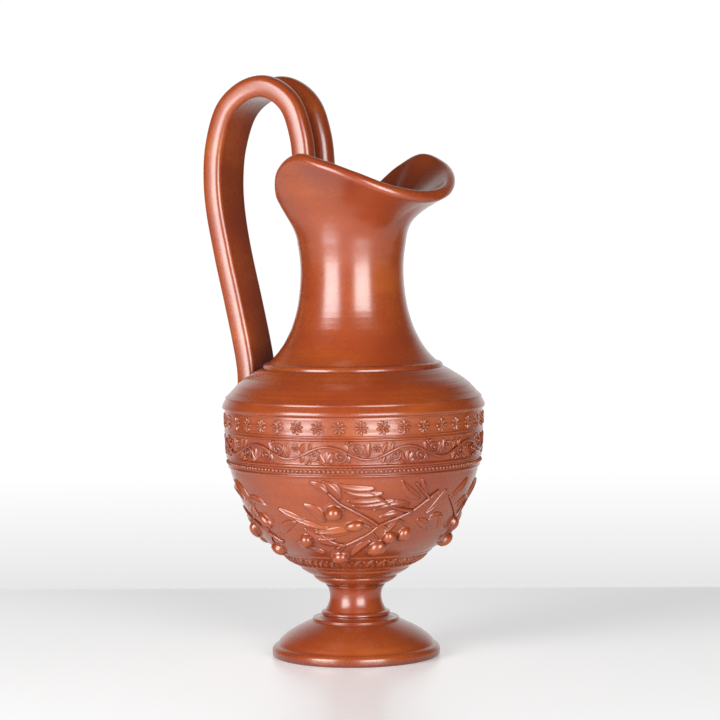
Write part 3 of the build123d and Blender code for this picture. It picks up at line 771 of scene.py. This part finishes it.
def shoulder_piece():
    """The sloping shoulder ring, seated in the bowl's rabbet."""
    top = smooth_line(
        [(64.9, SHOULDER_Z + 0.1), (63.8, 132.9), (62.2, 134.5), (60.4, 136.5), (58.5, 138.5), (56.0, 140.5),
         (53.2, 142.3), (50.0, 144.3), (47.4, 145.9), (45.9, 146.6), (44.6, NECK_Z)], 8
    )
    inside = divided(
        [(39.6, NECK_Z), (39.6, 142.6), (50.0, 138.2), (56.4, 132.8), (58.9, 128.4), (61.8, 128.4),
         (61.8, SHOULDER_Z), (64.6, SHOULDER_Z)], 1.5
    )
    verts, faces = lathe(np.vstack([turning(top, 0.045), inside])[::-1])
    faces = [tuple(reversed(face)) for face in faces]
    return piece("shoulder_form", verts, faces, TURNED_SLIP, "body_slip", "shoulder")


def collar_piece():
    """A soft coil that runs out into the shoulder below and is nipped in under the neck above."""
    t = np.linspace(-0.25, 1.85, 18)
    bead = np.column_stack([43.5 + 2.0 * np.cos(t), 147.05 + 2.15 * np.sin(t)])
    foot = smooth_line([(47.4, 145.4), (46.5, 145.95), (45.9, 146.25)], 5)
    inside = divided([(42.2, 149.6), (41.3, 149.8), (41.3, 145.6), (45.0, 145.0), (47.2, 145.0)], 0.6)
    verts, faces = lathe(np.vstack([foot, bead, inside]))
    return piece("collar_bead_form", verts, faces, TURNED_SLIP, "body_slip", "collar_bead")


# ---- neck and folded mouth ----
def rim_curve():
    """The lip's middle as dense (bearing, radius, height) rows over a full turn."""
    back_again = [(360 - a, r, z) for a, r, z in reversed(RIM[:-1])]
    run_in = [(-RIM[1][0],) + RIM[1][1:]]
    run_out = [(360 + RIM[1][0],) + RIM[1][1:]]
    return smooth_line(run_in + RIM + back_again + run_out, 10)


def mouth_outline(rim, phi, steps=44):
    """Outer skin of the mouth in the upright plane at bearing phi (radians), from the neck to the rim."""
    start = np.array(NECK_PROFILE[-1])
    bearing_now = math.degrees(phi)
    middle = np.array([np.interp(bearing_now, rim[:, 0], rim[:, k]) for k in (1, 2)])
    lean = math.radians(15 + 55 * math.sqrt((1 - math.cos(phi)) / 2))
    end = middle + LIP_WALL / 2 * np.array([math.sin(lean), -math.cos(lean)])
    first = start + (end[1] - start[1]) * np.array([0.04, 0.37])
    pull = (0.50 + 0.05 * math.cos(phi)) * math.dist(start, end)
    last = end - pull * np.array([math.cos(lean), math.sin(lean)])
    t = np.linspace(0, 1, steps)[:, None]
    return start * (1 - t) ** 3 + 3 * first * t * (1 - t) ** 2 + 3 * last * t**2 * (1 - t) + end * t**3


NECK_SEAT = [(37.0, 150.0), (37.2, 144.5), (39.5, 144.5), (39.5, NECK_Z), (42.0, NECK_Z), (42.6, 148.4)]


def neck_section(lower, rim, phi):
    """The closed wall section at bearing phi: outside, rolled lip, inside and the seat on the shoulder."""
    outer = np.vstack([lower, mouth_outline(rim, phi)])
    along = np.gradient(outer, axis=0)
    along /= np.linalg.norm(along, axis=1)[:, None]
    inward = np.column_stack([-along[:, 1], along[:, 0]])
    mouth_rows = len(outer) - len(lower)
    share = np.clip((np.arange(len(outer)) - len(lower)) / (mouth_rows - 1), 0, 1)[:, None]
    inner = outer + inward * (WALL + (LIP_WALL - WALL) * share**2)
    tip = (outer[-1] + inner[-1]) / 2
    half = (inner[-1] - outer[-1]) / 2
    turns = np.linspace(0, math.pi, 14)[1:-1, None]
    roll = 1.0 + 0.10 * np.sin(2 * turns) ** 2
    lip = tip - half * np.cos(turns) * roll + along[-1] * np.linalg.norm(half) * np.sin(turns)
    return np.vstack([outer, lip, inner[::-1], NECK_SEAT])


def neck_piece():
    """The neck, its mouth, the rounded lip and the inside, as one closed skin."""
    columns = 256
    lower = turning(smooth_line(NECK_PROFILE, 5)[:-1], 0.015)
    rim = rim_curve()
    bearings = np.linspace(0, 2 * math.pi, columns, endpoint=False)
    stack = np.array([neck_section(lower, rim, phi) for phi in bearings])
    angles = bearings + math.radians(MOUTH_TURN)
    ring = np.stack([np.cos(angles), np.sin(angles)], axis=1)
    rows = stack.shape[1]
    verts = np.concatenate([np.column_stack([ring * stack[:, k, :1], stack[:, k, 1]]) for k in range(rows)])
    faces = grid_faces(rows, columns, closed_rows=True, closed_columns=True)
    return piece("neck_mouth_form", verts, faces, TURNED_SLIP, "body_slip", "neck_and_mouth")


# ---- handle ----
def handle_frames():
    """Centre points of the handle with their outward normals, in the handle's plane."""
    line = smooth_line(HANDLE_LINE, 12)
    along = np.gradient(line, axis=0)
    along /= np.linalg.norm(along, axis=1)[:, None]
    outward = np.column_stack([along[:, 1], -along[:, 0]])
    to_space = np.array([[-1.0, 0, 0], [0, 0, 1.0]])
    return line @ to_space, outward @ to_space


def swept(section, scale_across, scale_out, shift=0.0):
    """Sweeps a closed (across, out) section along the handle; scales and shift may vary by station."""
    middle, outward = handle_frames()
    across = np.array([0, 1.0, 0])
    rings = [
        middle
        + across * ((shift + scale_across * b)[:, None])
        + outward * ((scale_out * n)[:, None])
        for b, n in section
    ]
    verts = np.stack(rings, axis=1).reshape(-1, 3)
    sides = len(section)
    last = (len(middle) - 1) * sides
    faces = grid_faces(len(middle), sides, closed_columns=True, flip=True)
    faces.append(tuple(range(sides)))
    faces.append(tuple(reversed(range(last, last + sides))))
    return verts, faces


def roll_section(side):
    """A roll with its free side a little squared and its inner side sliced flat; side is -1 or +1."""
    section = []
    for a in np.linspace(0, 2 * math.pi, 56, endpoint=False):
        across, out = math.cos(a), math.sin(a)
        power = FREE_SIDE_POWER if across * side > 0 else 1.0
        b = ROLL_R * math.copysign(abs(across) ** power, across)
        n = ROLL_R * math.copysign(abs(out) ** power, out)
        section.append((b, max(n, INNER_FACE)))
    return section


def handle_pieces():
    """Two rolls and the strap between them, swept along one line."""
    line = smooth_line(HANDLE_LINE, 12)
    run = np.concatenate([[0], np.cumsum(np.linalg.norm(np.diff(line, axis=0), axis=1))])
    left = run[-1] - run
    # the rolls swell where they are luted to the shoulder, and sink into the mouth's wall at the other end
    swell = 1.0 + 0.10 * np.exp(-((run / 7.0) ** 2))
    sink = 0.22 + 0.78 * np.clip(left / 24.0, 0, 1) ** 0.8
    girth = swell * sink
    # the rolls lie closer together in the tall leg than in the arch, and close up again inside the mouth
    spread = 0.76 + 0.24 * np.clip((run - 80.0) / 70.0, 0, 1)
    spread = spread * (0.40 + 0.60 * np.clip(left / 26.0, 0, 1))
    for side, name in ((-1, "left"), (1, "right")):
        verts, faces = swept(roll_section(side), ROLL_ACROSS * girth, girth, side * ROLL_HALF_PITCH * spread)
        piece(f"handle_roll_{name}_form", verts, faces, ROLLED_SLIP, "body_slip", f"handle_roll_{name}")
    reach = ROLL_HALF_PITCH + 1.2
    inner = INNER_FACE - 0.03
    face = [(b, inner + 0.10 * (abs(b) / reach) ** 8) for b in np.linspace(-reach, reach, 16)]
    edge = ROLL_HALF_PITCH - 1
    valley = [(b, -2.3 + 2.9 * (b / ROLL_HALF_PITCH) ** 2) for b in np.linspace(edge, -edge, 16)]
    verts, faces = swept(face + valley, spread, girth)
    piece("handle_strap_form", verts, faces, ROLLED_SLIP, "body_slip", "handle_strap")


# ---- relief pieces ----
def rosette_piece():
    """Like rosettes, each a little tilted and a little deeper or flatter than the next."""
    u, v, h, faces = flower_form(3.75, 8, 0.8)
    bunch = Cluster()
    chance = random.Random(7)
    for i in range(ROSETTE_COUNT):
        tilt = chance.uniform(-14, 14)
        rise = chance.uniform(0.88, 1.06)
        bunch.add(spun(laid(u, v, h * rise, 0.0, ROSETTE_Z, tilt), 360 * i / ROSETTE_COUNT), faces)
    piece("rosette_band", bunch.points(), bunch.faces, RELIEF_SLIP, "relief_slip", "rosettes")


def bead_piece():
    """A row of beads, slightly uneven in size and place."""
    bunch = Cluster()
    chance = random.Random(11)
    for i in range(BEAD_COUNT):
        size = chance.uniform(0.80, 0.96)
        angle = 360 * (i + chance.uniform(-0.06, 0.06)) / BEAD_COUNT
        ball_on_bowl(bunch, angle, BEAD_Z + chance.uniform(-0.08, 0.08), size, size, 0, 0.3, 8, 12)
    piece("bead_band", bunch.points(), bunch.faces, RELIEF_SLIP, "relief_slip", "bead_row")


def frieze_pieces():
    """A vine that waves round the bowl, with spiral tendrils, lobed leaves and berries in its bays."""
    step = 360 / WAVE_COUNT
    shares = np.linspace(0, WAVE_COUNT, WAVE_COUNT * 36, endpoint=False)
    path = np.column_stack([shares * step, FRIEZE_Z + WAVE_SWING * np.cos(2 * math.pi * shares)])
    vine = Cluster()
    tube_on_bowl(vine, path, 0.72 + 0.10 * np.sin(shares * 2 * math.pi * 3), closed=True)
    piece("frieze_vine_form", vine.points(), vine.faces, RELIEF_SLIP, "relief_slip", "frieze_vine")

    curls, leaves, berries = Cluster(), Cluster(), Cluster()
    turns = np.linspace(0, 1, 34)
    for share, rise, side in CURLS:
        size = 2.9 * (1 - turns) ** 0.8 + 0.5
        swing = np.radians(side * (100 - 500 * turns))
        across = np.degrees(size * np.cos(swing) / bowl_r(FRIEZE_Z))
        places = np.column_stack([step * share + across, FRIEZE_Z + rise + size * 0.85 * np.sin(swing)])
        tube_on_bowl(curls, places, np.linspace(0.60, 0.40, len(turns)), 8)
        ball_on_bowl(berries, step * share, FRIEZE_Z + rise, 0.75, 0.75, 0, 0.2, 9, 12)
    for base_share, base_rise, tip_share, tip_rise, width in LITTLE_LEAVES:
        low, high = FRIEZE_Z + base_rise, FRIEZE_Z + tip_rise
        leaf_between(leaves, step * base_share, low, step * tip_share, high, width, 0.06, 0.8)
    u, v, h, faces = flower_form(2.4, 6, 0.75, 12, 48)
    leaves.add(laid(u, v, h, step * 0.605, FRIEZE_Z + 2.3), faces)
    for share, rise in BERRIES:
        ball_on_bowl(berries, step * share, FRIEZE_Z + rise, 0.8, 0.72, 30, 0.15, 9, 12)
    for bunch, name, cad in (
        (curls, "frieze_tendrils_form", "frieze_tendrils"),
        (leaves, "frieze_leaves_form", "frieze_leaves"),
        (berries, "frieze_berries_form", "frieze_berries"),
    ):
        whole = bunch.turned_copies(WAVE_COUNT)
        piece(name, whole.points(), whole.faces, RELIEF_SLIP, "relief_slip", cad)


def lower_leaf_piece():
    """Pairs of small leaves with a dot between them, round the foot of the bowl."""
    bunch = Cluster()
    step = 360 / LOW_LEAF_COUNT
    for i in range(LOW_LEAF_COUNT):
        a = step * i
        leaf_between(bunch, a, LOW_LEAF_Z - 2.3, a + step * 0.42, LOW_LEAF_Z + 2.4, 2.9, 0.08, 0.75)
        low = LOW_LEAF_Z - 2.3
        leaf_between(bunch, a + step * 0.5, low, a + step * 0.22, LOW_LEAF_Z + 1.2, 2.0, -0.05, 0.6)
        ball_on_bowl(bunch, a + step * 0.72, LOW_LEAF_Z + 1.6, 0.6, 0.6, 0, 0.15, 8, 10)
    piece("lower_leaf_form", bunch.points(), bunch.faces, RELIEF_SLIP, "relief_slip", "lower_leaf_band")


def spray_pieces():
    """Olive twigs, leaves and fruit, drawn once and repeated round the bowl."""
    twigs, leaves, olives = Cluster(), Cluster(), Cluster()
    for places, thick in [(p, 1.0) for p in TWIGS] + [(p, 0.62) for p in STALKS]:
        line = smooth_line(places, 9)
        line[:, 0] += SPRAY_BASE
        share = np.linspace(0, 1, len(line))
        knots = 0.10 * np.exp(-(((share * 3) % 1 - 0.5) / 0.12) ** 2)
        tube_on_bowl(twigs, line, thick * (1.02 - 0.38 * share + knots), 10, 0.3)
    for base_angle, base_z, tip_angle, tip_z, width, bend in LEAVES:
        base, tip = SPRAY_BASE + base_angle, SPRAY_BASE + tip_angle
        leaf_between(leaves, base, base_z, tip, tip_z, width, bend, 1.2)
    for angle, z, long_r, short_r, tilt in OLIVES:
        u, v, h, faces = olive_form(long_r, short_r)
        olives.add(laid(u, v, h, SPRAY_BASE + angle, z, tilt), faces)
    for bunch, name, cad in (
        (twigs, "olive_twigs_form", "olive_twigs"),
        (leaves, "olive_leaves_form", "olive_leaves"),
        (olives, "olive_fruits_form", "olive_fruits"),
    ):
        whole = bunch.turned_copies(SPRAY_COUNT)
        piece(name, whole.points(), whole.faces, RELIEF_SLIP, "relief_slip", cad)


# ---- setting: pale table, white backdrop, two soft lights ----
CAMERA_TURN = 30.0
CAMERA_DISTANCE = 1.4
CAMERA_HEIGHT = 0.235
AIM_HEIGHT = 0.150
LENS = 138.6
ROLL = 0.65
SIDE_SHIFT = 0.00972  # share of the picture's width
LIGHT_AIM = 0.14
TABLE_BACK = 0.235
TABLE_REACH = 3.0
TABLE_SKEW = 0.055  # the table's far edge turned so that it reads level
ROOM_LEVEL = 0.04
BACKDROP_LEVEL = 0.95
BACKDROP_FOOT = 0.80


def bearing(degrees):
    """Unit vector of a bearing seen from the object; 0 is the -Y side and it grows towards +X."""
    a = math.radians(degrees)
    return Vector((math.sin(a), -math.cos(a), 0))


def make_camera():
    """The photograph's angle: a long lens, slightly above the object's middle and rolled a little."""
    data = bpy.data.cameras.new("camera")
    data.lens = LENS
    data.sensor_width = 36
    data.shift_x = SIDE_SHIFT
    camera = bpy.data.objects.new("camera", data)
    bpy.context.scene.collection.objects.link(camera)
    camera.location = bearing(CAMERA_TURN) * CAMERA_DISTANCE + Vector((0, 0, CAMERA_HEIGHT))
    aim = (Vector((0, 0, AIM_HEIGHT)) - camera.location).to_track_quat("-Z", "Y")
    camera.rotation_euler = aim.to_euler()
    camera.rotation_euler.rotate_axis("Z", math.radians(-ROLL))
    bpy.context.scene.camera = camera


def soft_light(name, degrees, distance, height, width, tall, power):
    """A rectangular soft box aimed at the middle of the object."""
    data = bpy.data.lights.new(name, "AREA")
    data.shape = "RECTANGLE"
    data.size = width
    data.size_y = tall
    data.energy = power
    light = bpy.data.objects.new(name, data)
    bpy.context.scene.collection.objects.link(light)
    light.location = bearing(degrees) * distance + Vector((0, 0, height))
    aim = Vector((0, 0, LIGHT_AIM)) - light.location
    light.rotation_euler = aim.to_track_quat("-Z", "Y").to_euler()


def make_table():
    """A pale, slightly glossy table top whose far edge makes the horizon."""
    back = -bearing(CAMERA_TURN)
    right = bearing(CAMERA_TURN + 90)
    skew = TABLE_REACH * TABLE_SKEW
    corners = [
        back * (TABLE_BACK + skew) - right * TABLE_REACH,
        back * (TABLE_BACK - skew) + right * TABLE_REACH,
        (right - back) * TABLE_REACH,
        (-right - back) * TABLE_REACH,
    ]
    mesh = bpy.data.meshes.new("table_top")
    mesh.from_pydata([tuple(c) for c in corners], [], [(0, 3, 2, 1)])
    table = bpy.data.objects.new("table_top", mesh)
    bpy.context.scene.collection.objects.link(table)
    mat = bpy.data.materials.new("pale_table")
    mat.use_nodes = True
    skin = mat.node_tree.nodes["Principled BSDF"]
    skin.inputs["Base Color"].default_value = (0.84, 0.84, 0.84, 1)
    skin.inputs["Roughness"].default_value = 0.28
    skin.inputs["Specular IOR Level"].default_value = 0.3
    # the table glows evenly: painted light that lifts its brightness
    skin.inputs["Emission Color"].default_value = (1, 1, 1, 1)
    skin.inputs["Emission Strength"].default_value = 0.20
    mesh.materials.append(mat)


def make_world():
    """A white backdrop behind the object and a dim room in front; the camera sees it nearly white."""
    world = bpy.data.worlds.new("studio")
    bpy.context.scene.world = world
    world.use_nodes = True
    tree = world.node_tree
    sky = tree.nodes["Background"]
    sky.inputs["Color"].default_value = (1, 1, 1, 1)
    place = tree.nodes.new("ShaderNodeTexCoord")
    facing = tree.nodes.new("ShaderNodeVectorMath")
    facing.operation = "DOT_PRODUCT"
    tree.links.new(place.outputs["Generated"], facing.inputs[0])
    facing.inputs[1].default_value = -bearing(CAMERA_TURN)
    lit = ramp(tree, (-400, 0), facing.outputs["Value"], 0.60, 0.92, ROOM_LEVEL, BACKDROP_LEVEL)
    parts = tree.nodes.new("ShaderNodeSeparateXYZ")
    tree.links.new(place.outputs["Generated"], parts.inputs["Vector"])
    seen = ramp(tree, (-400, -200), parts.outputs["Z"], -0.140, -0.098, BACKDROP_FOOT, 1.02)
    rays = tree.nodes.new("ShaderNodeLightPath")
    blend = tree.nodes.new("ShaderNodeMix")
    tree.links.new(rays.outputs["Is Camera Ray"], blend.inputs["Factor"])
    tree.links.new(lit, blend.inputs["A"])
    tree.links.new(seen, blend.inputs["B"])
    tree.links.new(blend.outputs["Result"], sky.inputs["Strength"])


bowl_piece()
foot_piece()
shoulder_piece()
collar_piece()
neck_piece()
handle_pieces()
rosette_piece()
bead_piece()
frieze_pieces()
lower_leaf_piece()
spray_pieces()

make_table()
make_world()
soft_light("left_box", CAMERA_TURN - 46, distance=1.35, height=0.37, width=0.78, tall=0.90, power=26)
soft_light("right_box", CAMERA_TURN + 22, distance=1.55, height=0.37, width=0.90, tall=0.88, power=28.5)
make_camera()
bpy.context.scene.view_settings.view_transform = "Standard"
